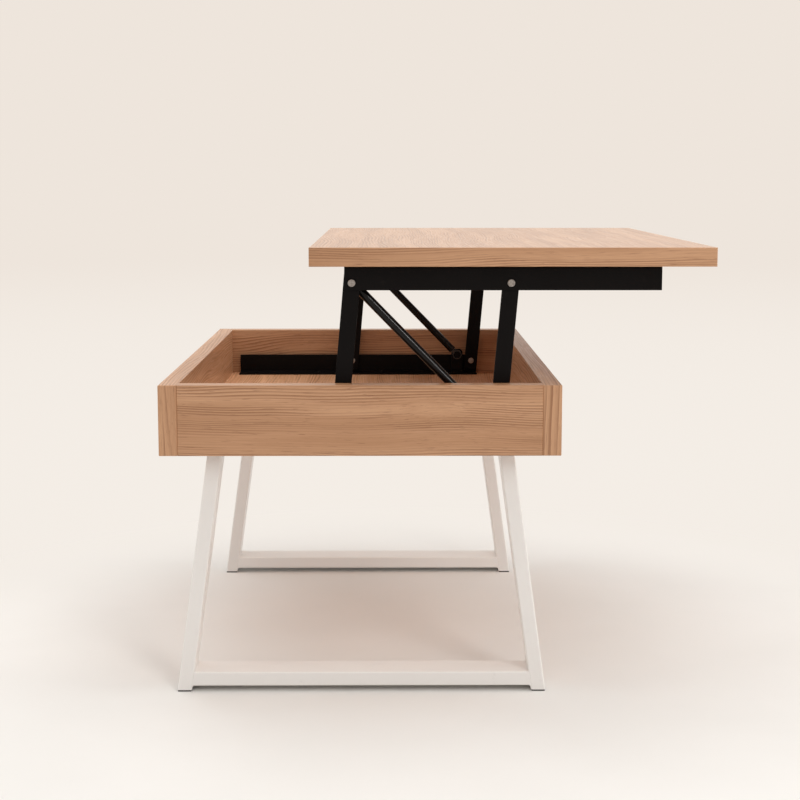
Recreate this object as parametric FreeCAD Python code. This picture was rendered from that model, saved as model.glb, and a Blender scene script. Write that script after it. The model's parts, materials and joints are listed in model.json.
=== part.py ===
import FreeCAD, Part
import math
import os

# Lift-top coffee and dining table, shown with its top raised.
# X runs across the table, Y along its length from the front end to the rear end, Z up from the floor.
# The box is modelled about X = 0 and everything is then moved, so that the origin lies on the floor
# below the middle of the raised table. Lengths are in millimetres and angles in degrees.

V = FreeCAD.Vector
ACROSS = V(1, 0, 0)
ALONG = V(0, 1, 0)
UP = V(0, 0, 1)

# Box and top
box_width = 600.0
box_length = 900.0
box_height = 106.0
wall_board = 28.0
top_board = 28.0
floor_board = 16.0
edge_band = 1.5
edge_ease = 0.8
seam_ease = 1.0
floor_tongue = 8.0
spline_thickness = 4.0
spline_width = 20.0
spline_margin = 14.0
closed_gap = 2.0
pad_width = 12.0
pad_clearance = 0.2
pad_end_margin = 40.0

# Leg frames of rectangular tube
leg_height = 376.0
leg_face = 22.0
leg_depth = 60.0
tube_wall = 1.5
tube_corner = 2.5
leg_inset = 40.0
leg_top_inset = 68.0
leg_foot_inset = 15.5
stretcher_rise = 9.0
glide_height = 2.5
glide_margin = 1.0
glide_plug = 12.0
plate_gauge = 4.0

# Lift mechanism: rails, arms and their pivots
arm_width = 25.0
arm_thickness = 8.0
arm_corner = 1.5
arm_overrun = 18.0
arm_wall_gap = 16.0
open_lean = 5.0
pivot_edge = 26.0
rail_height = 37.0
rail_flange = 33.0
rail_gauge = 3.0
rail_bend = 2.0
rail_end = 11.0
rail_setback = 6.0
rail_wall_gap = 16.0
rail_pivot_gap = 54.0
rivet_diameter = 8.0
rivet_head_diameter = 12.8
rivet_head_height = 3.0
rivet_draft = 1.2
side_play = 0.2
running_play = 0.05
fixed_play = 0.02

# Pull struts between the upper left pivots and the box
strut_diameter = 14.0
strut_wall = 1.2
strut_tilt = 3.6
strut_foot_gap = 28.3
strut_clearance = 1.15
strut_neck = 13.0
strut_cap = 8.0
strut_stop_gap = 0.3
eye_radius = 9.0
eye_width = 8.0
eye_neck = 9.6
rod_diameter = 6.0
gland_length = 20.0
gland_play = 0.1
piston_length = 12.0
piston_play = 0.2
piston_guard = 5.0
bracket_gauge = 3.0
bracket_width = 22.0
bracket_corner = 5.0
bolt_across_flats = 13.0
bolt_head_height = 2.0

TOUCH = 0.01

# Heights
box_bottom = leg_height
box_top = box_bottom + box_height
floor_low = box_bottom + plate_gauge
floor_top = floor_low + floor_board
lower_pivot_z = floor_top + pivot_edge
closed_pivot_z = box_top + closed_gap - pivot_edge

# Inside of the box, and the rail that nearly fills its width
wall_in_x = box_width / 2 - wall_board
wall_in_y = box_length / 2 - wall_board
rail_length = 2 * wall_in_x - rail_wall_gap - rail_pivot_gap

# Across the box, the clearances leave a width for two reaches: from the strut's foot to the
# lower left pivot, one arm length away at the strut's tilt, and on to the end of the closed arm.
# An arm length that fills this width follows from the two right triangles.
tilt = math.radians(strut_tilt)
closed_rise = closed_pivot_z - lower_pivot_z
both_reaches = 2 * wall_in_x - rail_pivot_gap - rail_end - strut_foot_gap - arm_overrun - arm_wall_gap
arm_length = (both_reaches ** 2 + closed_rise ** 2) / (
    both_reaches * math.cos(tilt) + math.hypot(both_reaches, closed_rise * math.sin(tilt))
)
pivot_span = arm_length * math.cos(tilt) + strut_foot_gap
closed_reach = both_reaches - arm_length * math.cos(tilt)

# The arms swing from their closed lean to their open lean, and the top's lift and shift follow.
closed_lean = -math.degrees(math.atan2(closed_reach, closed_rise))
swing = open_lean - closed_lean
open_rise = arm_length * math.cos(math.radians(open_lean))
open_reach = arm_length * math.sin(math.radians(open_lean))
top_shift = open_reach + closed_reach
lower_right_x = wall_in_x - rail_pivot_gap - rail_end
lower_left_x = lower_right_x - pivot_span
upper_left_x = lower_left_x + open_reach
upper_right_x = lower_right_x + open_reach
upper_pivot_z = lower_pivot_z + open_rise
top_low = upper_pivot_z + pivot_edge
top_high = top_low + top_board

# The strut's foot lies one arm length from the lower left pivot, so that the strut turns
# half as far as the arms do.
strut_foot_x = lower_right_x - strut_foot_gap
strut_foot_z = lower_pivot_z + arm_length * math.sin(tilt)
strut_open = 2 * arm_length * math.sin(math.radians(90 - open_lean - strut_tilt) / 2)
strut_closed = 2 * arm_length * math.sin(math.radians(90 - closed_lean - strut_tilt) / 2)
strut_slope = 45 + open_lean / 2 - strut_tilt / 2
tube_end = strut_open - strut_neck - strut_stop_gap
piston_reach = strut_closed - tube_end + gland_length + piston_guard

# Layers of a mechanism, as depths measured inwards from the end panel's inner face
web_out = rail_setback
web_in = web_out + rail_gauge
flange_in = web_out + rail_flange
arm_out = web_in + side_play
arm_in = arm_out + arm_thickness
head_at = arm_in + side_play
strut_axis = head_at + rivet_head_height + strut_clearance + strut_diameter / 2
eye_out = strut_axis - eye_width / 2
eye_in = strut_axis + eye_width / 2
ear_in = eye_out - side_play
ear_out = ear_in - bracket_gauge

# Leg lean
spread_at_box = box_width - 2 * leg_top_inset
spread_at_floor = box_width - 2 * leg_foot_inset
leg_lean = math.atan((spread_at_floor - spread_at_box) / 2 / leg_height)
leg_section = leg_face / math.cos(leg_lean)
leg_y = box_length / 2 - leg_inset - leg_depth / 2


# Small helpers

def block(x, y, z):
    """Block between two X, two Y and two Z values."""
    return Part.makeBox(x[1] - x[0], y[1] - y[0], z[1] - z[0], V(x[0], y[0], z[0]))


def rod(radius, start, end):
    """Round rod from one point to another."""
    run = end - start
    return Part.makeCylinder(radius, run.Length, start, run)


def edges_along(solid, axis):
    """Straight edges of a solid that run along one axis."""
    spans = {"X": "XLength", "Y": "YLength", "Z": "ZLength"}
    chosen = spans.pop(axis)
    picked = []
    for edge in solid.Edges:
        box = edge.BoundBox
        thin = all(getattr(box, other) < TOUCH for other in spans.values())
        if thin and getattr(box, chosen) > TOUCH:
            picked.append(edge)
    return picked


def edges_at(solid, axis, level):
    """Edges of a solid that lie in one plane across an axis."""
    low, high = axis + "Min", axis + "Max"
    return [
        edge for edge in solid.Edges
        if abs(getattr(edge.BoundBox, low) - level) < TOUCH
        and abs(getattr(edge.BoundBox, high) - level) < TOUCH
    ]


def closed_face(edges):
    """Flat face inside a closed loop of edges given in order."""
    return Part.Face(Part.Wire(edges))


def polygon_face(points):
    """Flat face inside straight runs between points."""
    return Part.Face(Part.makePolygon(points + points[:1]))


def rectangle(width, depth):
    """Flat face in the XY plane, centred on the origin."""
    x = width / 2
    y = depth / 2
    return polygon_face([V(-x, -y, 0), V(x, -y, 0), V(x, y, 0), V(-x, y, 0)])


def rounded_rectangle(width, depth, radius):
    """Flat face in the XY plane, centred on the origin, with rounded corners."""
    x = width / 2 - radius
    y = depth / 2 - radius
    edges = []
    for turn, (side_x, side_y) in enumerate(((1, 1), (-1, 1), (-1, -1), (1, -1))):
        corner = Part.makeCircle(radius, V(side_x * x, side_y * y, 0), UP, turn * 90, turn * 90 + 90)
        if edges:
            edges.append(Part.makeLine(edges[-1].lastVertex().Point, corner.firstVertex().Point))
        edges.append(corner)
    edges.append(Part.makeLine(edges[-1].lastVertex().Point, edges[0].firstVertex().Point))
    return closed_face(edges)


def both_ends(front):
    """Front shape with its mirror image at the rear end."""
    return [front, front.mirror(V(0, 0, 0), ALONG)]


def at_depth(depth):
    """Y of a depth measured inwards from the front end panel's inner face."""
    return depth - wall_in_y


def pin(radius, x, z, start, end):
    """Round rod along Y between two depths at the front end."""
    return rod(radius, V(x, at_depth(start), z), V(x, at_depth(end), z))


# Box

def floor_panel(play):
    """Floor board that reaches into the walls, or the groove for it when given some play."""
    x = wall_in_x + floor_tongue + play
    y = wall_in_y + floor_tongue + play
    return block((-x, x), (-y, y), (floor_low - play, floor_top + play))


def corner_splines(play):
    """Loose tongues across the four corner joints, or their grooves when given some play."""
    middle = wall_in_y + wall_board / 2
    half = spline_thickness / 2 + play
    z = (box_bottom + spline_margin - play, box_top - spline_margin + play)
    x = (wall_in_x - spline_width / 2 - play, wall_in_x + spline_width / 2 + play)
    right = both_ends(block(x, (-middle - half, -middle + half), z))
    return right + [spline.mirror(V(0, 0, 0), ACROSS) for spline in right]


def grooved(board):
    """Board of the box with the grooves for the floor and the corner splines cut in it."""
    return board.cut(Part.makeCompound([floor_panel(fixed_play)] + corner_splines(fixed_play)))


def side_panel(side):
    """Long side wall between its two end bands, with eased long edges."""
    x = sorted((side * wall_in_x, side * box_width / 2))
    half = box_length / 2 - edge_band
    panel = block(x, (-half, half), (box_bottom, box_top))
    return grooved(panel.makeChamfer(edge_ease, edges_along(panel, "Y")))


def side_panel_end_bands():
    """Thin bands that cover the ends of both side walls."""
    bands = []
    for side in (-1, 1):
        x = sorted((side * wall_in_x, side * box_width / 2))
        band = block(x, (-box_length / 2, edge_band - box_length / 2), (box_bottom, box_top))
        band = band.makeChamfer(edge_ease, edges_along(band, "Y"))
        bands += both_ends(band.makeChamfer(seam_ease, edges_at(band, "Y", -box_length / 2)))
    return bands


def front_end_panel():
    """End wall set between the side walls, eased where its seams show."""
    panel = block((-wall_in_x, wall_in_x), (-box_length / 2, -wall_in_y), (box_bottom, box_top))
    panel = panel.makeChamfer(edge_ease, edges_along(panel, "X"))
    uprights = [edge for edge in edges_along(panel, "Z") if edge.BoundBox.YMax < edge_band - box_length / 2]
    return grooved(panel.makeChamfer(seam_ease, uprights))


# Top

def tabletop():
    """Top board inside its edge bands."""
    x = top_shift + box_width / 2 - edge_band
    y = box_length / 2 - edge_band
    return block((2 * top_shift - x, x), (-y, y), (top_low, top_high))


def tabletop_end_bands():
    """Bands over the full width of the top's two ends, with eased outer edges."""
    x = (top_shift - box_width / 2, top_shift + box_width / 2)
    band = block(x, (-box_length / 2, edge_band - box_length / 2), (top_low, top_high))
    return both_ends(band.makeChamfer(edge_ease, edges_at(band, "Y", -box_length / 2)))


def tabletop_side_bands():
    """Bands along the top's two long sides, between the end bands."""
    y = box_length / 2 - edge_band
    bands = []
    for side in (-1, 1):
        outer = top_shift + side * box_width / 2
        x = sorted((outer, outer - side * edge_band))
        band = block(x, (-y, y), (top_low, top_high))
        long_edges = [edge for edge in edges_at(band, "X", outer) if edge.BoundBox.YLength > TOUCH]
        bands.append(band.makeChamfer(edge_ease, long_edges))
    return bands


def rim_pads():
    """Rubber pads under the top that meet the side walls' upper edges when it is closed."""
    half = pad_width / 2
    z = (top_low - closed_gap + pad_clearance, top_low)
    y = pad_end_margin - box_length / 2
    pads = []
    for side in (-1, 1):
        x = top_shift + side * (wall_in_x + wall_board / 2)
        pads += both_ends(block((x - half, x + half), (y - half, y + half), z))
    return pads


# Leg frames

def leg_outer_x(z):
    """Half of the frame's outer width at a height."""
    return (spread_at_floor + (spread_at_box - spread_at_floor) * z / leg_height) / 2


def leg_prism(side, low, high, shrink):
    """Leaning prism of a front leg's section, with square corners when it is drawn in."""
    width = leg_section - 2 * shrink
    depth = leg_depth - 2 * shrink
    face = rectangle(width, depth) if shrink else rounded_rectangle(width, depth, tube_corner)
    start = leg_outer_x(low) - leg_section / 2
    end = leg_outer_x(high) - leg_section / 2
    face.translate(V(side * start, -leg_y, low))
    return face.extrude(V(side * (end - start), 0, high - low))


def front_leg(side):
    """Leaning tube, cut level at the glide and under the mounting plate."""
    outside = leg_prism(side, glide_height, leg_height, 0)
    return outside.cut(leg_prism(side, glide_height, leg_height, tube_wall))


def front_stretcher():
    """Level tube between the legs, mitred to their inner faces."""
    x = spread_at_floor / 2
    tube = rounded_rectangle(leg_face, leg_depth, tube_corner).extrude(V(0, 0, 2 * x))
    hollow = rectangle(leg_face - 2 * tube_wall, leg_depth - 2 * tube_wall)
    tube = tube.cut(hollow.extrude(V(0, 0, 2 * x)))
    tube.rotate(V(0, 0, 0), ALONG, 90)
    low = stretcher_rise
    high = stretcher_rise + leg_face
    tube.translate(V(-x, -leg_y, (low + high) / 2))
    reach_low = leg_outer_x(low) - leg_section
    reach_high = leg_outer_x(high) - leg_section
    y = -leg_y - leg_depth
    corners = [V(-reach_low, y, low), V(reach_low, y, low), V(reach_high, y, high), V(-reach_high, y, high)]
    return tube.common(polygon_face(corners).extrude(V(0, 2 * leg_depth, 0)))


def foot_glides():
    """Plastic feet, each a sole under the tube with a plug inside it."""
    glides = []
    for side in (-1, 1):
        sole = leg_prism(side, 0, glide_height, glide_margin)
        plug = leg_prism(side, glide_height, glide_height + glide_plug, tube_wall + fixed_play)
        glides += both_ends(sole.fuse(plug).removeSplitter())
    return glides


def front_mount_plate():
    """Flat plate welded across the legs, set into the recess under the floor board."""
    x = spread_at_box / 2
    y = (-leg_y - leg_depth / 2, -leg_y + leg_depth / 2)
    return block((-x, x), y, (box_bottom, floor_low))


# Rails

def rail():
    """Bent angle rail on the plane Z = 0, with its pivot end at X = 0 and its run along -X."""
    bend_out = rail_bend + rail_gauge
    centre = V(0, at_depth(web_out + bend_out), bend_out)
    mid = math.sqrt(0.5)
    outer_mid = centre + V(0, -bend_out * mid, -bend_out * mid)
    inner_mid = centre + V(0, -rail_bend * mid, -rail_bend * mid)
    web_top_out = V(0, at_depth(web_out), rail_height)
    web_top_in = V(0, at_depth(web_in), rail_height)
    web_low_out = V(0, at_depth(web_out), bend_out)
    web_low_in = V(0, at_depth(web_in), bend_out)
    foot_out = V(0, at_depth(web_out + bend_out), 0)
    foot_in = V(0, at_depth(web_out + bend_out), rail_gauge)
    toe_low = V(0, at_depth(flange_in), 0)
    toe_high = V(0, at_depth(flange_in), rail_gauge)
    section = closed_face([
        Part.makeLine(web_top_out, web_low_out),
        Part.Arc(web_low_out, outer_mid, foot_out).toShape(),
        Part.makeLine(foot_out, toe_low),
        Part.makeLine(toe_low, toe_high),
        Part.makeLine(toe_high, foot_in),
        Part.Arc(foot_in, inner_mid, web_low_in).toShape(),
        Part.makeLine(web_low_in, web_top_in),
        Part.makeLine(web_top_in, web_top_out),
    ])
    pivot_hole = rivet_diameter / 2 + fixed_play
    holes = [pin(pivot_hole, -x, pivot_edge, 0, arm_out) for x in (rail_end, rail_end + pivot_span)]
    return section.extrude(V(-rail_length, 0, 0)).cut(Part.makeCompound(holes))


def front_lower_rail():
    """Rail on the floor board, with its pivot end to the right."""
    shape = rail()
    shape.translate(V(lower_right_x + rail_end, 0, floor_top))
    return shape


def front_upper_rail():
    """The same rail turned over under the top, with its pivot end to the left."""
    shape = rail()
    shape.rotate(V(0, 0, 0), ALONG, 180)
    shape.translate(V(upper_left_x - rail_end, 0, top_low))
    return shape


# Arms and pivots

def front_arm(pivot_x):
    """Flat bar that runs a little past a lower pivot and the upper pivot above it."""
    half = arm_width / 2
    y = (at_depth(arm_out), at_depth(arm_in))
    bar = block((-half, half), y, (-arm_overrun, arm_length + arm_overrun))
    bar = bar.makeChamfer(arm_corner, edges_along(bar, "Y"))
    bore = rivet_diameter / 2 + running_play
    bar = bar.cut(Part.makeCompound([pin(bore, 0, z, 0, head_at) for z in (0, arm_length)]))
    bar.rotate(V(0, 0, 0), ALONG, open_lean)
    bar.translate(V(pivot_x, 0, lower_pivot_z))
    return bar


def rivet(x, z, start, end):
    """Pin between two depths with a tapered flat head beyond each of them."""
    shank = rivet_diameter / 2
    head = rivet_head_diameter / 2
    high = rivet_head_height
    steps = [(0, high), (head - rivet_draft, high), (head, 0), (shank, 0)]
    outline = [V(radius, at_depth(start) - height, 0) for radius, height in steps]
    outline += [V(radius, at_depth(end) + height, 0) for radius, height in reversed(steps)]
    solid = polygon_face(outline).revolve(V(0, 0, 0), ALONG, 360)
    solid.translate(V(x, 0, z))
    return solid


def lower_rivets():
    """Rivets that hold the arms to the lower rails."""
    places = (lower_left_x, lower_right_x)
    fronts = [rivet(x, lower_pivot_z, web_out, head_at) for x in places]
    return [solid for front in fronts for solid in both_ends(front)]


def upper_right_rivets():
    """Rivets that hold the right arms to the upper rails."""
    return both_ends(rivet(upper_right_x, upper_pivot_z, web_out, head_at))


def upper_left_rivets():
    """Longer rivets that hold the left arms and the struts to the upper rails."""
    return both_ends(rivet(upper_left_x, upper_pivot_z, web_out, eye_in + side_play))


# Struts, drawn along +X from the upper left pivot and then turned down to the strut's foot

def placed_on_strut(shape):
    """Shape drawn along X from the origin, moved onto the front strut's line."""
    shape.rotate(V(0, 0, 0), ALONG, strut_slope)
    shape.translate(V(upper_left_x, at_depth(strut_axis), upper_pivot_z))
    return shape


def along(radius, start, end):
    """Round rod between two distances along the strut."""
    return rod(radius, V(start, 0, 0), V(end, 0, 0))


def eye(distance, neck_end, outboard):
    """Round eye about a pivot with a square neck towards the strut's body."""
    width = eye_width / 2
    hub = rod(eye_radius, V(distance, -outboard, 0), V(distance, width, 0))
    neck = block(sorted((distance, neck_end)), (-width, width), (-eye_neck / 2, eye_neck / 2))
    bore = rivet_diameter / 2 + running_play
    return hub.fuse(neck).cut(rod(bore, V(distance, -outboard, 0), V(distance, width, 0)))


def front_strut_tube():
    """Cylinder with a closed upper end, whose long-hubbed eye reaches out to the arm."""
    outer = strut_diameter / 2
    tube = along(outer, strut_neck, tube_end)
    tube = tube.fuse(eye(0, strut_neck + strut_cap / 2, strut_axis - head_at))
    tube = tube.cut(along(outer - strut_wall, strut_neck + strut_cap, tube_end))
    return placed_on_strut(tube.removeSplitter())


def front_strut_gland():
    """Guide in the cylinder's lower end that the rod slides through."""
    outer = strut_diameter / 2 - strut_wall - fixed_play
    guide = along(outer, tube_end - gland_length, tube_end)
    bore = along(rod_diameter / 2 + gland_play, tube_end - gland_length, tube_end)
    return placed_on_strut(guide.cut(bore))


def front_strut_rod():
    """Rod with its piston at the upper end and an eye at the lower end."""
    top = strut_open - piston_reach - piston_length
    shaft = along(rod_diameter / 2, top, strut_open - eye_radius)
    piston = along(strut_diameter / 2 - strut_wall - piston_play, top, top + piston_length)
    foot = eye(strut_open, strut_open - strut_neck, eye_width / 2)
    return placed_on_strut(shaft.fuse([piston, foot]).removeSplitter())


def front_strut_bracket():
    """Upright ear with clipped corners and a foot on the lower rail's flange."""
    half = bracket_width / 2
    x = (strut_foot_x - half, strut_foot_x + half)
    foot_z = floor_top + rail_gauge
    ear = block(x, (at_depth(ear_out), at_depth(ear_in)), (foot_z, strut_foot_z + half))
    upper_corners = [edge for edge in edges_along(ear, "Y") if edge.BoundBox.ZMin > strut_foot_z]
    ear = ear.makeChamfer(bracket_corner, upper_corners)
    foot = block(x, (at_depth(ear_out), at_depth(flange_in)), (foot_z, foot_z + bracket_gauge))
    bore = pin(rivet_diameter / 2 + fixed_play, strut_foot_x, strut_foot_z, 0, flange_in)
    return ear.fuse(foot).cut(bore).removeSplitter()


def strut_bracket_bolts():
    """Bolts that hold the rods' eyes to the brackets, with a hexagon at each end."""
    start = ear_out
    end = eye_in + side_play
    corner = bolt_across_flats / 2 / math.cos(math.pi / 6)
    turns = [math.radians(60 * step) for step in range(6)]
    hexagon = [V(corner * math.cos(turn), 0, corner * math.sin(turn)) for turn in turns]
    head = polygon_face(hexagon).extrude(V(0, bolt_head_height, 0))
    nut = head.copy()
    head.translate(V(strut_foot_x, at_depth(start) - bolt_head_height, strut_foot_z))
    nut.translate(V(strut_foot_x, at_depth(end), strut_foot_z))
    shank = pin(rivet_diameter / 2, strut_foot_x, strut_foot_z, start, end)
    return both_ends(shank.fuse([head, nut]))


# Nodes

def nodes():
    """Every node's name with its solids, in the box's own place."""
    yield "left_side_panel", [side_panel(-1)]
    yield "right_side_panel", [side_panel(1)]
    yield "side_panel_end_bands", side_panel_end_bands()
    yield "floor_panel", [floor_panel(0)]
    yield "corner_splines", corner_splines(0)
    yield "tabletop", [tabletop()]
    yield "tabletop_end_bands", tabletop_end_bands()
    yield "tabletop_side_bands", tabletop_side_bands()
    yield "rim_pads", rim_pads()
    yield "foot_glides", foot_glides()
    yield "lower_rivets", lower_rivets()
    yield "upper_left_rivets", upper_left_rivets()
    yield "upper_right_rivets", upper_right_rivets()
    yield "strut_bracket_bolts", strut_bracket_bolts()
    fronts = {
        "end_panel": front_end_panel(),
        "left_leg": front_leg(-1),
        "right_leg": front_leg(1),
        "stretcher": front_stretcher(),
        "mount_plate": front_mount_plate(),
        "lower_rail": front_lower_rail(),
        "upper_rail": front_upper_rail(),
        "left_arm": front_arm(lower_left_x),
        "right_arm": front_arm(lower_right_x),
        "strut_tube": front_strut_tube(),
        "strut_gland": front_strut_gland(),
        "strut_rod": front_strut_rod(),
        "strut_bracket": front_strut_bracket(),
    }
    for name, solid in fronts.items():
        front, rear = both_ends(solid)
        yield "front_" + name, [front]
        yield "rear_" + name, [rear]


def main():
    """Write one file per node and print the figures that the joints need."""
    os.makedirs("parts", exist_ok=True)
    for name, solids in nodes():
        shape = solids[0] if len(solids) == 1 else Part.makeCompound(solids)
        shape.translate(V(-top_shift / 2, 0, 0))
        shape.exportStep("parts/" + name + ".step")
    print("swing %.4f degrees, shift %.3f, lift %.3f" % (swing, top_shift, upper_pivot_z - closed_pivot_z))
    places = {
        "lower left": (lower_left_x, lower_pivot_z),
        "lower right": (lower_right_x, lower_pivot_z),
        "upper left": (upper_left_x, upper_pivot_z),
        "upper right": (upper_right_x, upper_pivot_z),
        "strut foot": (strut_foot_x, strut_foot_z),
    }
    for name, (x, z) in places.items():
        print("%s pivot at X %.4f, Z %.4f" % (name, x - top_shift / 2, z))
    print("strut %.3f long when open, %.3f when closed" % (strut_open, strut_closed))


main()
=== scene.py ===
# %% [markdown]
# # A coffee table that lifts into a dining table
# The table is a long oak box on two white steel leg frames. Its top swings up and sideways on four
# black arms. The solids come ready from the frame, at their real size and in metres, so this lesson
# only dresses them: it writes the finishes, adds the small turned and pressed hardware, and then
# sets the floor, the light and the camera.

# %% Load the frame and keep its box
import json
import math

import bmesh
import bpy
import numpy as np
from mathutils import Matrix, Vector

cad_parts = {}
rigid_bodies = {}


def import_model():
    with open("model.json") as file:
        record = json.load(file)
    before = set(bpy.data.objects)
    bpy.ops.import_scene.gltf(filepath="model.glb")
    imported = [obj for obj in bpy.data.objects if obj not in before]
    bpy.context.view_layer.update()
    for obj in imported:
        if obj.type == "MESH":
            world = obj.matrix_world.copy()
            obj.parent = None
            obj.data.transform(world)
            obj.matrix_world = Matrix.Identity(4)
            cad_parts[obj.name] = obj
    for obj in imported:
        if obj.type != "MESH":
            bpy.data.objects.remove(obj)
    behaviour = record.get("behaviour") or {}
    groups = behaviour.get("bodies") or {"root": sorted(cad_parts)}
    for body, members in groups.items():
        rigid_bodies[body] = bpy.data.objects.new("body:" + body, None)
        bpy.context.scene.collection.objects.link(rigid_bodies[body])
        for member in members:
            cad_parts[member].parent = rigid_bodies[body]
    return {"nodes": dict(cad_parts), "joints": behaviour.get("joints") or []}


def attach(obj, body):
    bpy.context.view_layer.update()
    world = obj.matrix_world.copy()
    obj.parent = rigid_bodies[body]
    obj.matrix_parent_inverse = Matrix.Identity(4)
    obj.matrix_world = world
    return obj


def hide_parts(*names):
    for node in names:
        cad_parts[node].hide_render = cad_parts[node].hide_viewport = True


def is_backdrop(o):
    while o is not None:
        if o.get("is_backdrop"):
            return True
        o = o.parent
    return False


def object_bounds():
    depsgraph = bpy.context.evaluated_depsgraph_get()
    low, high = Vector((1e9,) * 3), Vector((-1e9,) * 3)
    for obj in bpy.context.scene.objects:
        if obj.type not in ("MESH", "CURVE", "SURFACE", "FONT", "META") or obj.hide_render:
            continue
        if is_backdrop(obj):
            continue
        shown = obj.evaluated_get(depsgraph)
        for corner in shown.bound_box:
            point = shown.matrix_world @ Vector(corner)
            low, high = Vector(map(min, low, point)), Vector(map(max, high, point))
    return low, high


for leftover in list(bpy.data.objects):
    bpy.data.objects.remove(leftover)
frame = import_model()
nodes = frame["nodes"]
cad_low, cad_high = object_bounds()
millimetre = 0.001
print("table", [round(side, 3) for side in cad_high - cad_low], "m in", len(nodes), "solids")

# %% [markdown]
# ## Where the pivots are
# The rivets and the struts' collars have to sit exactly on the solids. Their places could be measured
# in the viewport and typed in, but then they would be wrong after any change of size, so they come from
# the frame's own joints. A joint's position is a point on its axis. The fourth corner of each arm linkage
# has no joint of its own, and it follows from the other three, because the links form a parallelogram.

# %% Pivots of the two linkages
joint_at = {joint["name"]: Vector(joint["pos_m"]) for joint in frame["joints"]}
lower_left = joint_at["lift"]
lower_right = joint_at["front_right_swing"]
upper_left = joint_at["top_level"]
upper_right = upper_left + lower_right - lower_left
print("arms", round((upper_left - lower_left).length, 4), "m between pivots")

# %% [markdown]
# ## Wiring a finish
# A finish is a small network of nodes that ends in one shader. Setting up each node by hand takes
# four or five lines, so these helpers do it in one: `node` adds a node and fills its sockets with
# either a number or another node's output. The patterns read Object coordinates, which here are the
# table's own metres, so a scale of 200 means features of about 5 mm.

# %% Helpers for nodes
def new_finish(name, roughness, metallic=0.0, specular=0.5):
    """Material with one shader. Numbers that are even all over go on its own sockets."""
    material = bpy.data.materials.new(name)
    material.use_nodes = True
    shader = material.node_tree.nodes["Principled BSDF"]
    shader.inputs["Roughness"].default_value = roughness
    shader.inputs["Metallic"].default_value = metallic
    shader.inputs["Specular IOR Level"].default_value = specular
    return material, material.node_tree, shader


def node(tree, kind, sockets, **settings):
    """New node with its settings, its sockets filled with values or joined to other outputs."""
    made = tree.nodes.new("ShaderNode" + kind)
    for setting, value in settings.items():
        setattr(made, setting, value)
    for socket, value in sockets.items():
        if isinstance(value, bpy.types.NodeSocket):
            tree.links.new(value, made.inputs[socket])
        else:
            made.inputs[socket].default_value = value
    return made


def reckoned(tree, operation, first, second):
    """One step of arithmetic on two numbers."""
    return node(tree, "Math", {0: first, 1: second}, operation=operation).outputs[0]


def moved(tree, operation, first, second):
    """One step of arithmetic on two places."""
    return node(tree, "VectorMath", {0: first, 1: second}, operation=operation).outputs[0]


print("helpers for nodes ready")


# %% Helpers for patterns
def table_place(tree):
    """Object coordinates: a point's place on the table in metres."""
    return node(tree, "TexCoord", {}).outputs["Object"]


def cloud(tree, place, scale, detail=2.0, roughness=0.5):
    """Soft random pattern, stretched by a different scale along X, Y and Z."""
    stretched = node(tree, "Mapping", {"Vector": place, "Scale": scale}).outputs["Vector"]
    sockets = {"Vector": stretched, "Scale": 1.0, "Detail": detail, "Roughness": roughness}
    return node(tree, "TexNoise", sockets)


def remap(tree, value, start, end, low=0.0, high=1.0):
    """Value carried smoothly from the span start..end to the span low..high."""
    sockets = {"Value": value, 1: start, 2: end, 3: low, 4: high}
    return node(tree, "MapRange", sockets, interpolation_type="SMOOTHSTEP").outputs["Result"]


def mixed(tree, factor, first, second):
    """Two colours mixed by a factor."""
    return node(tree, "Mix", {0: factor, 6: first, 7: second}, data_type="RGBA").outputs[2]


def relief(tree, height, depth, strength):
    """Normal of a surface raised by a pattern, with its depth in metres."""
    sockets = {"Height": height, "Distance": depth, "Strength": strength}
    return node(tree, "Bump", sockets).outputs["Normal"]


print("helpers for patterns ready")

# %% [markdown]
# ## Oak
# The boards are veneered in straight-grained oak under a satin lacquer. A tree lays down one pale
# soft layer and one dark hard layer a year, so a board shows lines: each darkens slowly and then ends
# sharply. A picture of a board would blur close up and repeat, so a recipe copies the growth instead.
# A saw-tooth wave of rings about a far-off heart gives the yearly lines, and a slow cloud pushes them
# sideways, so that they wander together as real ones do. Other clouds, twenty to a hundred times finer
# across the grain than along it, add fibres, pores and broad tones. The grain follows each board's
# length, so the recipe is written for three directions. The top has the thickest lacquer, and the box's
# floor is painted paler than the rest: painted light, standing in for light that falls into the box.

# %% Patterns of the grain
def pushed(tree, place, scale, reach):
    """Place moved by a cloud, centred on zero, over a reach."""
    drift = cloud(tree, place, scale, detail=1.5).outputs["Color"]
    centred = moved(tree, "SUBTRACT", drift, (0.5, 0.5, 0.5))
    sideways = node(tree, "VectorMath", {0: centred, "Scale": reach}, operation="SCALE").outputs[0]
    return moved(tree, "ADD", place, sideways)


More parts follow.
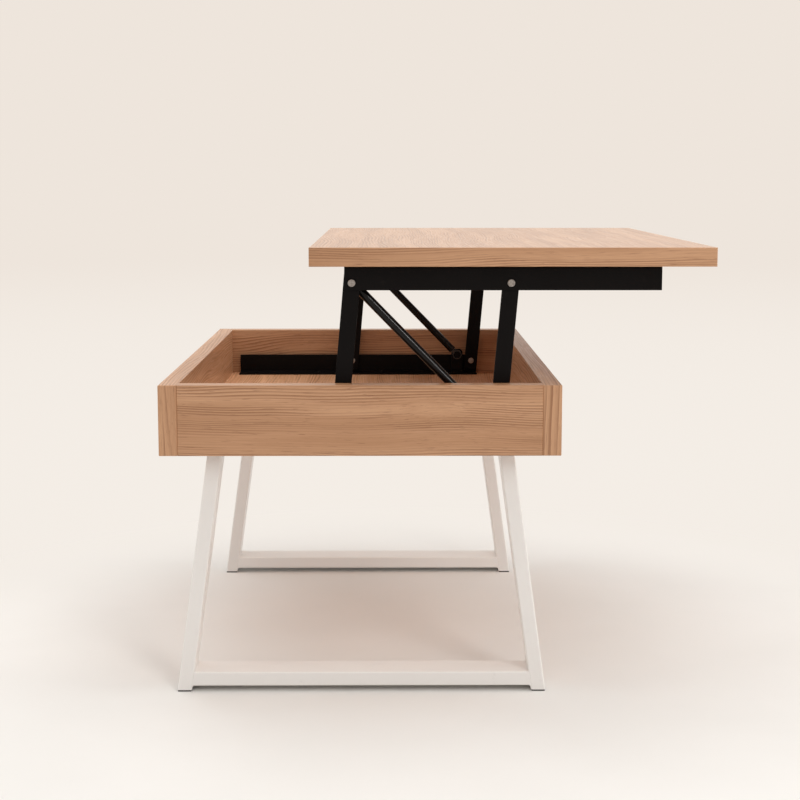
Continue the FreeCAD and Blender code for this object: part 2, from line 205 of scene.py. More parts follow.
def grain_patterns(tree, grain, heart, year_ring, wander):
    """Rings, tone, threads, fading and pores, drawn out along one axis and wandering together."""

    def scale(across, along):
        """Scale of a pattern: one along the fibres and another across them."""
        return [along if axis == grain else across for axis in "XYZ"]

    wandering = pushed(tree, table_place(tree), scale(across=7.0, along=2.2), wander)
    fibres = pushed(tree, wandering, scale(across=46.0, along=2.6), 0.16 * wander)
    # A wave texture repeats every tenth of pi, divided by its scale.
    sockets = {"Vector": moved(tree, "SUBTRACT", fibres, heart), "Scale": 0.1 * math.pi / year_ring}
    settings = {"wave_type": "RINGS", "rings_direction": grain, "wave_profile": "SAW"}
    rings = node(tree, "TexWave", sockets, **settings).outputs["Fac"]
    tone = cloud(tree, fibres, scale(across=30.0, along=1.4)).outputs["Fac"]
    threads = cloud(tree, fibres, scale(across=520.0, along=5.0), roughness=0.6).outputs["Fac"]
    fade = cloud(tree, fibres, scale(across=70.0, along=2.4), detail=1.0).outputs["Fac"]
    pores = cloud(tree, fibres, scale(across=900.0, along=34.0), detail=1.0).outputs["Fac"]
    return rings, tone, threads, fade, pores


print("grain patterns ready")


# %% The oak recipe
def oak(name, grain, heart, year_ring, wander, lacquer=0.4, painted_light=1.0):
    """Oak with its fibres along one axis and its yearly rings about a line through the heart."""
    material, tree, shader = new_finish(name, roughness=0.46, specular=0.25)
    shader.inputs["Coat Weight"].default_value = lacquer
    shader.inputs["Coat Roughness"].default_value = 0.22
    rings, tone, threads, fade, pores = grain_patterns(tree, grain, heart, year_ring, wander)

    def tint(red, green, blue):
        """Colour made paler by the board's own factor of painted light."""
        return (painted_light * red, painted_light * green, painted_light * blue, 1)

    deep_wood = tint(0.475, 0.250, 0.132)
    pale_wood = tint(0.595, 0.335, 0.190)
    thread_wood = tint(0.38, 0.185, 0.090)
    late_wood = tint(0.270, 0.122, 0.056)
    pore_wood = tint(0.20, 0.085, 0.042)
    ring_share = remap(tree, rings, 0.25, 0.97)
    late = reckoned(tree, "MULTIPLY", ring_share, remap(tree, fade, 0.40, 0.64, 0.10, 0.85))
    colour = mixed(tree, remap(tree, tone, 0.32, 0.68), deep_wood, pale_wood)
    colour = mixed(tree, remap(tree, threads, 0.35, 0.65, 0.30, 0.0), colour, thread_wood)
    colour = mixed(tree, late, colour, late_wood)
    colour = mixed(tree, remap(tree, pores, 0.63, 0.73, 0.0, 0.45), colour, pore_wood)
    height = reckoned(tree, "SUBTRACT", threads, late)
    tree.links.new(colour, shader.inputs["Base Color"])
    tree.links.new(remap(tree, threads, 0.3, 0.7, 0.54, 0.40), shader.inputs["Roughness"])
    tree.links.new(relief(tree, height, 0.10 * millimetre, 0.45), shader.inputs["Normal"])
    return material


narrow_ring = 3.6 * millimetre
wide_ring = 8.0 * millimetre
oak_lengthwise = oak("oak_lengthwise", "Y", (-1.1, 0.0, -0.35), narrow_ring, wander=30.0 * millimetre)
oak_crosswise = oak("oak_crosswise", "X", (0.0, -0.80, -0.60), narrow_ring, wander=50.0 * millimetre)
oak_upright = oak("oak_upright", "Z", (-1.3, -1.2, 0.0), wide_ring, wander=50.0 * millimetre)
oak_top = oak("oak_top", "Y", (-1.1, 0.0, -0.35), narrow_ring, wander=38.0 * millimetre, lacquer=0.8)
# The box's floor is painted 1.45 times paler: painted light inside the box.
oak_painted_light = oak("oak_painted_light", "Y", (-0.9, 0.0, -0.40), narrow_ring, wander=30.0 * millimetre, painted_light=1.45)
print("five oak finishes")

# %% [markdown]
# ## Powder coat on the steel
# The leg frames are sprayed with warm white powder and the lift mechanism with black. Baked powder
# is never quite smooth: it has a faint orange-peel relief, and its sheen varies where the film is
# thicker. Modelling that would take millions of faces, so three clouds do it in the shader. One recipe
# serves every colour. The white also takes some pale grey scuffs, and the black some dust. The strut
# tubes are stove-enamelled, so they get a glossier film.

# %% The powder recipe
def powder(name, colour, scuffed, roughness, specular, scuff_share):
    """Sprayed powder coat: even colour with a few scuffs, orange-peel relief and uneven sheen."""
    material, tree, shader = new_finish(name, roughness, specular=specular)
    place = table_place(tree)
    peel = cloud(tree, place, (620.0, 620.0, 620.0)).outputs["Fac"]
    film = cloud(tree, place, (14.0, 14.0, 14.0), detail=3.0).outputs["Fac"]
    scuffs = cloud(tree, place, (70.0, 70.0, 70.0), detail=4.0, roughness=0.7).outputs["Fac"]
    worn = remap(tree, scuffs, 0.60, 0.78, 0.0, scuff_share)
    sheen = remap(tree, film, 0.3, 0.7, roughness - 0.05, roughness + 0.07)
    tree.links.new(mixed(tree, worn, (*colour, 1), (*scuffed, 1)), shader.inputs["Base Color"])
    tree.links.new(sheen, shader.inputs["Roughness"])
    tree.links.new(relief(tree, peel, 0.06 * millimetre, 0.35), shader.inputs["Normal"])
    return material


white_powder = powder(
    "white_powder", colour=(0.825, 0.789, 0.760), scuffed=(0.72, 0.69, 0.66),
    roughness=0.40, specular=0.5, scuff_share=0.40)
black_powder = powder(
    "black_powder", colour=(0.0038, 0.0028, 0.0028), scuffed=(0.012, 0.010, 0.009),
    roughness=0.46, specular=0.10, scuff_share=0.6)
strut_gloss = powder(
    "strut_gloss", colour=(0.0036, 0.0028, 0.0028), scuffed=(0.010, 0.009, 0.008),
    roughness=0.16, specular=0.20, scuff_share=0.4)
print("white powder, black powder and the struts' gloss black")

# %% [markdown]
# ## Bare metal, plastic and plain wood
# The rivets and some screws are dull zinc, the strut rods are nitrided dark and ground smooth, and the
# glides, guides and pads are dark moulded plastic and rubber. The splines hidden in the box's corners
# are plain beech. A single even colour would look dead on all of them, so in each recipe one cloud, at
# the scale that the real surface has, moves the colour, the sheen and a slight relief together.

# %% Plain recipes for the small pieces
def plain(name, dark, light, scale, roughness, metallic=0.0):
    """Finish that drifts between two close colours, with the same cloud in its sheen and relief."""
    material, tree, shader = new_finish(name, roughness, metallic)
    drift = cloud(tree, table_place(tree), scale, detail=3.0).outputs["Fac"]
    colour = mixed(tree, remap(tree, drift, 0.3, 0.7), (*dark, 1), (*light, 1))
    sheen = remap(tree, drift, 0.3, 0.7, roughness + 0.08, roughness - 0.05)
    tree.links.new(colour, shader.inputs["Base Color"])
    tree.links.new(sheen, shader.inputs["Roughness"])
    tree.links.new(relief(tree, drift, 0.02 * millimetre, 0.4), shader.inputs["Normal"])
    return material


dull_zinc = plain(
    "dull_zinc", dark=(0.30, 0.27, 0.25), light=(0.42, 0.385, 0.36),
    scale=(420.0, 420.0, 420.0), roughness=0.42, metallic=0.85)
nitrided_rod = plain(
    "nitrided_rod", dark=(0.055, 0.053, 0.052), light=(0.085, 0.082, 0.080),
    scale=(900.0, 900.0, 60.0), roughness=0.30, metallic=0.9)
dark_nylon = plain(
    "dark_nylon", dark=(0.030, 0.028, 0.027), light=(0.045, 0.042, 0.040),
    scale=(300.0, 300.0, 300.0), roughness=0.55)
pad_rubber = plain(
    "pad_rubber", dark=(0.022, 0.021, 0.020), light=(0.035, 0.033, 0.032),
    scale=(500.0, 500.0, 500.0), roughness=0.75)
plain_beech = plain(
    "plain_beech", dark=(0.50, 0.33, 0.20), light=(0.62, 0.43, 0.27),
    scale=(220.0, 220.0, 12.0), roughness=0.6)
print("five plain finishes")

# %% [markdown]
# ## Dressing the solids
# Each solid of the frame keeps its mesh and takes one of the finishes. The box's side walls, its
# floor and the top have their grain along the table, the end walls and the top's end bands across
# it, and the small bands on the side walls' ends upright. The finishes could be put on by hand in the
# material tab. A table of names is quicker to read, and the count at its end shows that none is missed.

# %% Which finish goes where
ends = ("front", "rear")
dressed = {
    oak_lengthwise: ["left_side_panel", "right_side_panel"],
    oak_top: ["tabletop", "tabletop_side_bands"],
    oak_crosswise: ["front_end_panel", "rear_end_panel", "tabletop_end_bands"],
    oak_upright: ["side_panel_end_bands"],
    oak_painted_light: ["floor_panel"],
    plain_beech: ["corner_splines"],
    dull_zinc: ["lower_rivets", "upper_left_rivets", "upper_right_rivets"],
    dark_nylon: ["foot_glides"],
    pad_rubber: ["rim_pads"],
    white_powder: [],
    black_powder: ["strut_bracket_bolts"],
    strut_gloss: [],
    nitrided_rod: [],
}
frame_pieces = ("left_leg", "right_leg", "stretcher", "mount_plate")
lift_pieces = ("lower_rail", "upper_rail", "left_arm", "right_arm", "strut_bracket")
for end in ends:
    dressed[white_powder] += [end + "_" + piece for piece in frame_pieces]
    dressed[black_powder] += [end + "_" + piece for piece in lift_pieces]
    dressed[strut_gloss].append(end + "_strut_tube")
    dressed[nitrided_rod].append(end + "_strut_rod")
    dressed[dark_nylon].append(end + "_strut_gland")
for material, names in dressed.items():
    for name in names:
        nodes[name].material_slots[0].material = material
print(sum(len(names) for names in dressed.values()), "of", len(nodes), "solids dressed")

# %% [markdown]
# ## Eased edges on the steel
# Bar and sheet come from the mill with slightly rounded edges, and the powder rounds them further.
# That is why the black edges in the mechanism show as thin pale lines. A bevel a little over half a
# millimetre wide does it, as a modifier, which leaves the solids' own meshes alone. Their faces are
# separate sheets, so a weld joins them first. The bevel marks its new strips as weak, and afterwards
# every shading normal is taken from the strongest faces around it, so the wide faces stay flat and only
# the strips are shaded round.

# %% Bevels on bars, rails and brackets
join_within = 0.001 * millimetre
edge_width = 0.6 * millimetre
sharp_turn = math.radians(40)
eased = [name for name in nodes if name.endswith(("_arm", "_rail", "_bracket"))]
for name in eased:
    joined = nodes[name].modifiers.new("joined", "WELD")
    joined.merge_threshold = join_within
    rounded = nodes[name].modifiers.new("rounded", "BEVEL")
    rounded.width = edge_width
    rounded.segments = 2
    rounded.limit_method = "ANGLE"
    rounded.angle_limit = sharp_turn
    rounded.loop_slide = False
    rounded.use_clamp_overlap = False
    rounded.face_strength_mode = "FSTR_ALL"
    evened = nodes[name].modifiers.new("evened", "WEIGHTED_NORMAL")
    evened.use_face_influence = True
print(len(eased), "pieces with eased edges")

# %% [markdown]
# ## From arrays to pieces
# The hardware is made from grids of points: a formula takes two parameters, one per row and one per
# column, and gives a place. A tool that turns on a lathe or sweeps along a path works the same way.
# The faces join neighbouring grid points. Where rows or columns meet their own start, the grid is
# closed, and the doubled points of a pole are joined. The sign of the enclosed volume tells whether
# the faces point outwards, so no piece comes out inside out.

# %% Helpers for grids
def corners(name):
    """Every corner of one solid, as an array of places."""
    mesh = nodes[name].data
    places = np.empty(len(mesh.vertices) * 3, dtype=np.float32)
    mesh.vertices.foreach_get("co", places)
    return places.reshape(-1, 3).astype(float)


def grid_faces(rows, columns, close_rows=False, close_columns=True):
    """Quads between neighbouring grid points, with either direction joined to its own start."""
    row = np.arange(rows if close_rows else rows - 1)[:, None]
    column = np.arange(columns if close_columns else columns - 1)[None, :]
    next_row = (row + 1) % rows * columns
    next_column = (column + 1) % columns
    here = row * columns
    quads = [here + column, next_row + column, next_row + next_column, here + next_column]
    return np.stack(quads, -1).reshape(-1, 4)


def copies(shapes, faces):
    """Several equal grids in one array, with the faces counted on for each."""
    shapes = np.stack(shapes)
    steps = np.arange(len(shapes))[:, None, None] * shapes.shape[1]
    return shapes.reshape(-1, 3), (faces[None] + steps).reshape(-1, 4)


print("helpers for grids ready")

# %% Helpers for pieces
doubles_within = 0.002 * millimetre


def enclosed_volume(points, faces):
    """Signed volume of a closed mesh: each quad is split into two triangles."""
    first, second, third, fourth = (points[faces[:, corner]] for corner in range(4))
    halves = np.cross(second, third) + np.cross(third, fourth)
    return (first * halves).sum() / 6


def solid_piece(name, points, faces, material):
    """Mesh object from arrays, with doubled points joined and edges sharp where faces turn a lot."""
    if enclosed_volume(points, faces) < 0:
        faces = faces[:, ::-1]
    mesh = bpy.data.meshes.new(name)
    mesh.from_pydata(points.tolist(), [], faces.tolist())
    work = bmesh.new()
    work.from_mesh(mesh)
    bmesh.ops.remove_doubles(work, verts=work.verts, dist=doubles_within)
    work.to_mesh(mesh)
    work.free()
    mesh.shade_smooth()
    mesh.set_sharp_from_angle(angle=sharp_turn)
    mesh.materials.append(material)
    piece = bpy.data.objects.new(name, mesh)
    bpy.context.scene.collection.objects.link(piece)
    return piece


print("helpers for pieces ready")

# %% [markdown]
# ## Rivets
# The arms turn on steel rivets. A rivet's outer head is a thick disc with a rounded rim, and the press
# that closes it leaves a shallow dish in the middle, which catches the light as a ring. The frame's own
# rivets are plain, with flat heads. Here each one is turned anew, as on a lathe: its half outline, from
# the middle of one head to the middle of the other, is carried round a circle. A Screw modifier could
# do that too, but an array keeps all the rivets of one solid in one mesh.

# %% A rivet's half outline
head_radius = 5.7 * millimetre
head_height = 3.0 * millimetre
shank_radius = 4.0 * millimetre
rim_radius = 0.9 * millimetre
dish_radius = 2.8 * millimetre
dish_depth = 0.6 * millimetre
curve_steps = 9


def rivet_outline(length):
    """Radius and depth from the outer head's middle to the inner head's: dish, rim, shank, rim, flat."""
    sweep = np.linspace(0.0, 1.0, curve_steps)
    dish = np.stack([dish_radius * sweep, dish_depth * (1 - sweep ** 2 * (3 - 2 * sweep))], -1)
    turn = sweep * math.pi / 2
    shoulder = head_radius - rim_radius
    rim = np.stack([shoulder + rim_radius * np.sin(turn), rim_radius * (1 - np.cos(turn))], -1)
    shank = np.array([
        [head_radius, head_height],
        [shank_radius, head_height],
        [shank_radius, length - head_height],
        [head_radius, length - head_height],
    ])
    inner_rim = rim[::-1] * (1, -1) + (0.0, length)
    return np.concatenate([dish, rim, shank, inner_rim, [[0.0, length]]])


print("rivet heads", round(2 * head_radius / millimetre, 1), "mm across")

# %% Turned rivets
rivet_spokes = 40


def turned(outline, spokes):
    """Each point of a half outline carried round a circle about the Y axis."""
    angle = np.linspace(0.0, 2 * np.pi, spokes, endpoint=False)[None, :]
    radius = outline[:, :1]
    depth = outline[:, 1:] + 0 * angle
    return np.stack([radius * np.cos(angle), depth, radius * np.sin(angle)], -1).reshape(-1, 3)


def turned_rivets(node_name, body, pivots):
    """The rivets of one solid, at both ends of the table, with the length that the solid has there."""
    depths = corners(node_name)[:, 1]
    rear = depths[depths > 0]
    length = rear.max() - rear.min()
    outline = rivet_outline(length)
    shape = turned(outline, rivet_spokes) - (0.0, rear.max(), 0.0)
    pieces = []
    for pivot in pivots:
        for facing in (1, -1):
            turned_round = shape * (facing, facing, 1)
            pieces.append(turned_round + (pivot.x, 0.0, pivot.z))
    points, faces = copies(pieces, grid_faces(len(outline), rivet_spokes))
    piece = solid_piece("turned_" + node_name, points, faces, dull_zinc)
    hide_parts(node_name)
    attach(piece, body)
    print(piece.name, len(pieces), "rivets", round(length / millimetre, 2), "mm long")


turned_rivets("lower_rivets", "base", (lower_left, lower_right))
turned_rivets("upper_left_rivets", "top", (upper_left,))
turned_rivets("upper_right_rivets", "top", (upper_right,))

# %% [markdown]
# ## Screws
# Wood screws hold the rails to the floor board and to the top, and the leg frames' plates to the box.
# Only their pan heads show, black on the black rails and zinc under the plates. A pan head is a disc
# with a flat crown, rounded shoulders and a pressed cross. A Boolean could cut the cross, but a square
# grid bent into a disc suits it better: the cross then runs along the grid's rows and columns, and its
# edges stay straight.

# %% Pan head with a cross
screw_radius = 4.2 * millimetre
screw_height = 2.5 * millimetre
head_steps = 25
cross_width = 0.17
cross_reach = 0.60
cross_depth = 0.62
cross_side = 0.06
cross_end = 0.10
sunk = 0.05 * millimetre


def step(value, width):
    """Smooth change from 0 to 1 over a width on both sides of zero."""
    share = np.clip(value / (2 * width) + 0.5, 0.0, 1.0)
    return share * share * (3 - 2 * share)


def pan_head(steps):
    """Two sheets on one square grid bent to a disc: the crown with its cross, and the flat underside.

    The crown is the power 0.45 of what the fifth power of the radius leaves of 1, which is flat in the
    middle and falls steeply at the rim. The cross is deepest in the middle.
    """
    line = np.linspace(-1.0, 1.0, steps)
    across, along = np.meshgrid(line, line, indexing="ij")
    wide = across * np.sqrt(1 - along ** 2 / 2)
    long = along * np.sqrt(1 - across ** 2 / 2)
    out = np.clip(np.hypot(wide, long), 0.0, 1.0)
    crown = (1 - out ** 5) ** 0.45
    near = np.minimum(abs(wide), abs(long))
    far = np.maximum(abs(wide), abs(long))
    cross = step(cross_width - near, cross_side) * step(cross_reach - far, cross_end)
    height = crown - cross_depth * cross * (1 - 0.5 * far)
    top = np.stack([wide * screw_radius, long * screw_radius, height * screw_height - sunk], -1)
    bottom = np.stack([wide * screw_radius, long * screw_radius, 0 * out - sunk], -1)
    sheet = grid_faces(steps, steps, close_columns=False)
    points = np.concatenate([top.reshape(-1, 3), bottom.reshape(-1, 3)])
    return points, np.concatenate([sheet, sheet[:, ::-1] + steps * steps])


print("pan head of", len(pan_head(head_steps)[1]), "faces")

# %% Rows of screws
first_angle = 0.7
next_angle = 2.4
rail_gauge = 3.0 * millimetre
flange_middle = 13.0 * millimetre
rail_shares = (0.07, 0.34, 0.60, 0.93)
plate_shares = (0.2, 0.4, 0.6, 0.8)


def extent(name):
    """Lowest and highest X, Y and Z of one solid."""
    places = corners(name)
    return places.min(0), places.max(0)


def screw_row(name, body, places, facing, material):
    """Screws at a list of places, heads up or heads down, each turned by its own angle."""
    points, faces = pan_head(head_steps)
    pieces = []
    for count, place in enumerate(places):
        angle = first_angle + next_angle * count
        cosine = math.cos(angle)
        sine = math.sin(angle)
        turn = np.array([[cosine, -sine, 0], [sine, cosine, 0], [0, 0, 1]])
        pieces.append((points @ turn.T) * (1, facing, facing) + place)
    piece = solid_piece(name, *copies(pieces, faces), material)
    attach(piece, body)
    print(name, len(pieces), "screws")


floor_screws = []
top_screws = []
plate_screws = []
for end in ends:
    for kind, found in (("lower", floor_screws), ("upper", top_screws)):
        low, high = extent(end + "_" + kind + "_rail")
        depth = low[1] + flange_middle if end == "rear" else high[1] - flange_middle
        level = low[2] + rail_gauge if kind == "lower" else high[2] - rail_gauge
        found += [(low[0] + share * (high[0] - low[0]), depth, level) for share in rail_shares]
    low, high = extent(end + "_mount_plate")
    depth = (low[1] + high[1]) / 2
    plate_screws += [(low[0] + share * (high[0] - low[0]), depth, low[2]) for share in plate_shares]
screw_row("floor_screws", "base", floor_screws, 1, black_powder)
screw_row("top_screws", "top", top_screws, -1, black_powder)
screw_row("plate_screws", "base", plate_screws, -1, dull_zinc)

# %% [markdown]
# ## Weld beads
# Each leg frame is welded up from cut tube, and the powder coat leaves the seams visible as small
# rounded beads. A bead is a round profile swept along a closed path, here a rectangle round the end of
# a tube. A curve with a round bevel could do it, but the profile also swells and shrinks along the way,
# as the welder's puddles do, and in an array that is one more factor.

# %% Round profile along a closed path
bead_sides = 10


def round_path(stops, count):
    """Closed path of straight runs through some stops, with points evenly spaced between them."""
    loop = np.concatenate([stops, stops[:1]])
    share = np.linspace(0.0, len(stops), count, endpoint=False)
    return np.stack([np.interp(share, np.arange(len(loop)), loop[:, axis]) for axis in range(3)], -1)


def bead(path, thickness, ripple=0.0, ripples=0):
    """Circle swept along a closed path in one plane: outwards from its middle and along its normal.

    Its radius is the thickness, which a sine wave along the path raises and lowers by the ripple.
    """
    middle = path.mean(0)
    outwards = path - middle
    outwards /= np.linalg.norm(outwards, axis=1)[:, None]
    normal = np.cross(path[0] - middle, path[len(path) // 4] - middle)
    normal /= np.linalg.norm(normal)
    angle = np.linspace(0.0, 2 * np.pi, bead_sides, endpoint=False)
    puddle = np.sin(np.linspace(0.0, 2 * np.pi * ripples, len(path), endpoint=False))
    radius = (thickness * (1 + ripple * puddle))[:, None, None]
    ring = np.cos(angle)[None, :, None] * outwards[:, None, :] + np.sin(angle)[None, :, None] * normal
    return (path[:, None, :] + radius * ring).reshape(-1, 3)


def section(places, level, reach=0.2 * millimetre):
    """Rectangle round a solid's corners at one level: its extent in X and Y there."""
    there = places[abs(places[:, 2] - level) < reach]
    (left, front, _), (right, rear, _) = there.min(0), there.max(0)
    outline = [(left, front, level), (right, front, level), (right, rear, level), (left, rear, level)]
    return np.array(outline)


print("beads with", bead_sides, "sides")

# %% Welds at the stretchers and the legs' tops
weld_steps = 144
weld_thickness = 1.5 * millimetre
weld_ripple = 0.12
weld_puddles = 36
seams = []
for end in ends:
    rung = corners(end + "_stretcher")
    foot = section(rung, rung[:, 2].min())
    crown = section(rung, rung[:, 2].max())
    for side, first, second in (("left", 0, 3), ("right", 1, 2)):
        seams.append(np.array([foot[first], foot[second], crown[second], crown[first]]))
        leg = corners(end + "_" + side + "_leg")
        seams.append(section(leg, leg[:, 2].max()))
welds = [bead(round_path(seam, weld_steps), weld_thickness, weld_ripple, weld_puddles) for seam in seams]
points, faces = copies(welds, grid_faces(weld_steps, bead_sides, close_rows=True))
weld_beads = solid_piece("weld_beads", points, faces, white_powder)
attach(weld_beads, "base")
print("weld beads", len(welds), "with", len(weld_beads.data.polygons), "faces")

# %% [markdown]
# ## Rolled collars
# Near its mouth each strut tube has two rolled rings, which hold the guide inside. A torus from the Add
# menu would have to be turned into line with the strut. The bead of the welds, swept along a circle
# across the strut's own axis, lies in the right place from the start. The axis runs from the tube's eye
# to the rod's, and the tube's furthest corner along it is its mouth.

# %% Collars of the two struts
collar_steps = 48
collar_circle = 6.7 * millimetre
collar_thickness = 0.9 * millimetre
collar_places = (1.2 * millimetre, 22.0 * millimetre)
for end in ends:
    tube = corners(end + "_strut_tube")
    tube_eye = np.array(joint_at[end + "_tube_tilt"])
    rod_eye = np.array(joint_at[end + "_rod_tilt"])
    axis = (rod_eye - tube_eye) / np.linalg.norm(rod_eye - tube_eye)
    sideways = np.array([0.0, 1.0, 0.0])
    upwards = np.cross(axis, sideways)
    mouth = ((tube - tube_eye) @ axis).max()
    turn = np.linspace(0.0, 2 * np.pi, collar_steps, endpoint=False)[:, None]
    circle = collar_circle * (np.cos(turn) * sideways + np.sin(turn) * upwards)
    paths = [tube_eye + axis * (mouth - back) + circle for back in collar_places]
    rings = [bead(path, collar_thickness) for path in paths]
    points, faces = copies(rings, grid_faces(collar_steps, bead_sides, close_rows=True))
    collar = solid_piece(end + "_strut_collars", points, faces, strut_gloss)
    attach(collar, end + "_strut_tube")
    print(collar.name, "on a tube", round(mouth / millimetre, 1), "mm long")

# %% [markdown]
# ## Floor and backdrop
# The table stands on a pale cream floor that runs on without a horizon. A curved paper sweep would do
# for one view, but the table is also seen from behind. So the floor is a wide disc whose far part
# turns into plain light of the backdrop's own colour, for the camera and for what it sees in
# reflections. Near the table it is an ordinary matt floor that takes the shadow.

# %% The floor's finish
backdrop = (0.855, 0.784, 0.716, 1)
floor_light = (0.905, 0.850, 0.790, 1)
dim_cream = (0.826, 0.806, 0.780, 1)
light_cream = (0.851, 0.831, 0.806, 1)
fade_middle = (0.0, -0.5, 0.0)
fade_shape = (1.3, 1.0, 0.0)
fade_start = 0.9
fade_end = 1.5
backdrop_start = 14.0


def looked_at(tree):
    """1 for a ray from the camera, straight on, by a reflection or through glass, and 0 for light."""
    ray = node(tree, "LightPath", {}).outputs
    seen = reckoned(tree, "MAXIMUM", ray["Is Camera Ray"], ray["Is Glossy Ray"])
    return reckoned(tree, "MAXIMUM", seen, ray["Is Transmission Ray"])


def floor_finish():
    """Matt cream floor that fades, where it is looked at, into the backdrop's light further off."""
    material, tree, shader = new_finish("cream_floor", roughness=0.75, specular=0.2)
    place = table_place(tree)
    paper = cloud(tree, place, (3.0, 3.0, 3.0), detail=4.0).outputs["Fac"]
    cream = mixed(tree, remap(tree, paper, 0.3, 0.7), dim_cream, light_cream)
    tree.links.new(cream, shader.inputs["Base Color"])
    oval = moved(tree, "MULTIPLY", moved(tree, "SUBTRACT", place, fade_middle), fade_shape)
    away = node(tree, "VectorMath", {0: oval}, operation="LENGTH").outputs["Value"]
    far = reckoned(tree, "MULTIPLY", remap(tree, away, fade_start, fade_end), looked_at(tree))
    distant = mixed(tree, remap(tree, away, fade_end, backdrop_start), floor_light, backdrop)
    glow = node(tree, "Emission", {"Color": distant, "Strength": 1.0})
    both = node(tree, "MixShader", {0: far, 1: shader.outputs[0], 2: glow.outputs[0]})
    tree.links.new(both.outputs[0], tree.nodes["Material Output"].inputs["Surface"])
    return material


cream_floor = floor_finish()
print("floor fades from", fade_start, "to", fade_end, "m")

# %% A wide round floor
floor_reach = 60.0
floor_rings = 40
floor_spokes = 48


def disc_points(rings, spokes, reach):
    """Polar grid: radius grows as the square of the first parameter, the angle with the second."""
    radius = reach * np.linspace(0.0, 1.0, rings)[:, None] ** 2
    angle = np.linspace(0.0, 2 * np.pi, spokes, endpoint=False)[None, :]
    level = np.zeros((rings, spokes))
    return np.stack([radius * np.cos(angle), radius * np.sin(angle), level], axis=-1).reshape(-1, 3)


points = disc_points(floor_rings, floor_spokes, floor_reach)
floor = solid_piece("cream_floor", points, grid_faces(floor_rings, floor_spokes), cream_floor)
floor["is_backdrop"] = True
print("floor of", len(floor.data.polygons), "faces")

# %% [markdown]
# ## World
# The room light is soft and comes from everywhere, so the shadow under the table is faint and has no
# edge. A ring of lamps could give that, but a plain bright world does it with less work. The camera
# and the reflections see the backdrop's colour instead of the world's light.

# %% World
sky_tint = (1.0, 0.975, 0.95, 1)
sky_strength = 0.53
world = bpy.data.worlds.new("studio")
bpy.context.scene.world = world
world.use_nodes = True
sky = world.node_tree
light_from_sky = sky.nodes["Background"]
light_from_sky.inputs["Color"].default_value = sky_tint
light_from_sky.inputs["Strength"].default_value = sky_strength
seen_sky = node(sky, "Background", {"Color": backdrop, "Strength": 1.0})
sky_mix = node(sky, "MixShader", {0: looked_at(sky), 1: light_from_sky.outputs[0], 2: seen_sky.outputs[0]})
sky.links.new(sky_mix.outputs[0], sky.nodes["World Output"].inputs["Surface"])
print("world at", sky_strength)

# %% [markdown]
# ## Lamps
# A little more light comes from the right. Two wide lamps stand low at the sides and shine under the
# box, one hangs overhead for the top, and a smaller one at the upper left shines into the open box.
# Another stands far off at the front for the end wall. None of these shows in reflections. Two more
# lamps are linked to a few pieces alone. The line lamp does show in reflections: it draws the bright
# line along each strut, and stands where a mirror along the strut would show it to the camera. The
# stretcher lamp hangs over the leg frames' stretchers and only they cast its shadow, so their upper
# sides are as pale as in the photograph although the box shades them from the others.

# %% Five lamps for the whole table
lamp_tint = (0.98, 0.98, 0.962)
table_middle = (0.0, 0.0, 0.40)


def soft_lamp(name, place, aim, wide, high, watts, mirrored=False):
    """Area lamp of a given width and height that points from its place to an aim."""
    data = bpy.data.lights.new(name, "AREA")
    data.shape = "RECTANGLE"
    data.size = wide
    data.size_y = high
    data.energy = watts
    data.color = lamp_tint
    lamp = bpy.data.objects.new(name, data)
    lamp.location = place
    lamp.rotation_euler = (Vector(aim) - Vector(place)).to_track_quat("-Z", "Y").to_euler()
    lamp.visible_glossy = mirrored
    bpy.context.scene.collection.objects.link(lamp)
    return lamp


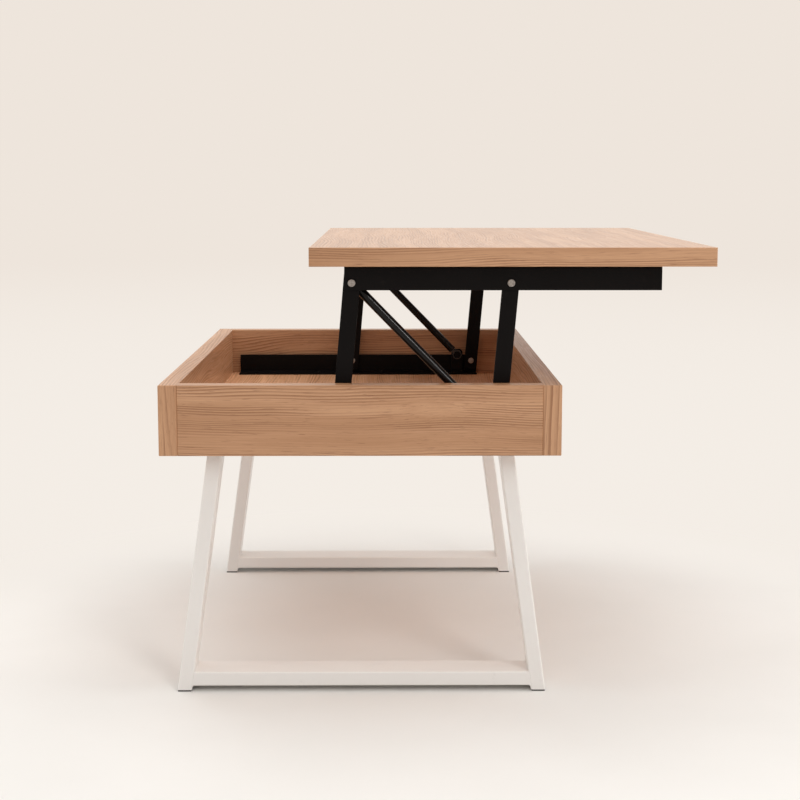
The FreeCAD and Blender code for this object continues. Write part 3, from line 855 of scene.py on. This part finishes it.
soft_lamp("overhead_lamp", (0.6, -0.1, 2.7), aim=(0.5, 0.0, 0.0), wide=2.4, high=2.4, watts=35.0)
soft_lamp("right_lamp", (3.9, -0.4, 1.3), aim=table_middle, wide=2.4, high=1.8, watts=45.0)
soft_lamp("left_lamp", (-3.0, -0.5, 1.1), aim=table_middle, wide=2.0, high=1.6, watts=20.0)
soft_lamp("upper_left_lamp", (-0.9, 0.5, 2.0), aim=(-0.25, 0.2, 0.45), wide=0.9, high=0.9, watts=7.5)
soft_lamp("front_lamp", (2.0, -4.4, 3.35), aim=table_middle, wide=1.3, high=2.6, watts=68.0)
print("five lamps on everything")


# %% Two lamps linked to a few pieces
def group(name, names):
    """Collection of some solids that a lamp is linked to."""
    found = bpy.data.collections.new(name)
    for solid in names:
        found.objects.link(nodes[solid])
    return found


struts = group("struts", [end + "_strut_" + piece for end in ends for piece in ("tube", "rod")])
stretchers = group("stretchers", [end + "_stretcher" for end in ends])
line_lamp = soft_lamp(
    "line_lamp", (1.94, -2.88, 2.0), aim=table_middle, wide=0.5, high=0.7, watts=26.0, mirrored=True)
line_lamp.light_linking.receiver_collection = struts
stretcher_lamp = soft_lamp(
    "stretcher_lamp", (-0.11, 0.0, 2.6), aim=(-0.11, 0.0, 0.0), wide=1.5, high=1.5, watts=9.0)
stretcher_lamp.light_linking.receiver_collection = stretchers
stretcher_lamp.light_linking.blocker_collection = stretchers

# %% [markdown]
# ## Camera
# The photograph was taken from a little above the top, square to the table's short end, with a long
# lens. The camera could be placed by eye, but matching the edges of the box, the top and the feet gave
# the numbers below: it stands about 2.4 m from the front end and looks slightly down.

# %% The camera
camera_place = (-0.0687, -2.8355, 0.79025)
looks_down = 0.1375
looks_right = 0.0064
lens = 73.09
view = bpy.data.cameras.new("photo_view")
view.lens = lens
view.sensor_width = 36.0
camera = bpy.data.objects.new("photo_view", view)
camera.location = camera_place
camera.rotation_euler = (math.pi / 2 - looks_down, 0.0, -looks_right)
bpy.context.scene.collection.objects.link(camera)
bpy.context.scene.camera = camera
bpy.context.scene.view_settings.view_transform = "Standard"
print("camera", camera_place, "lens", lens)

# %% [markdown]
# ## Sizes
# Dressing a part mustn't change how large it is. The box round the solids was kept at the start, so the
# box round everything that shows now is measured as well, and the difference is printed.

# %% Sizes
look_low, look_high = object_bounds()
growth = (look_high - look_low) - (cad_high - cad_low)
print("grown by", [round(value / millimetre, 3) for value in growth], "mm")
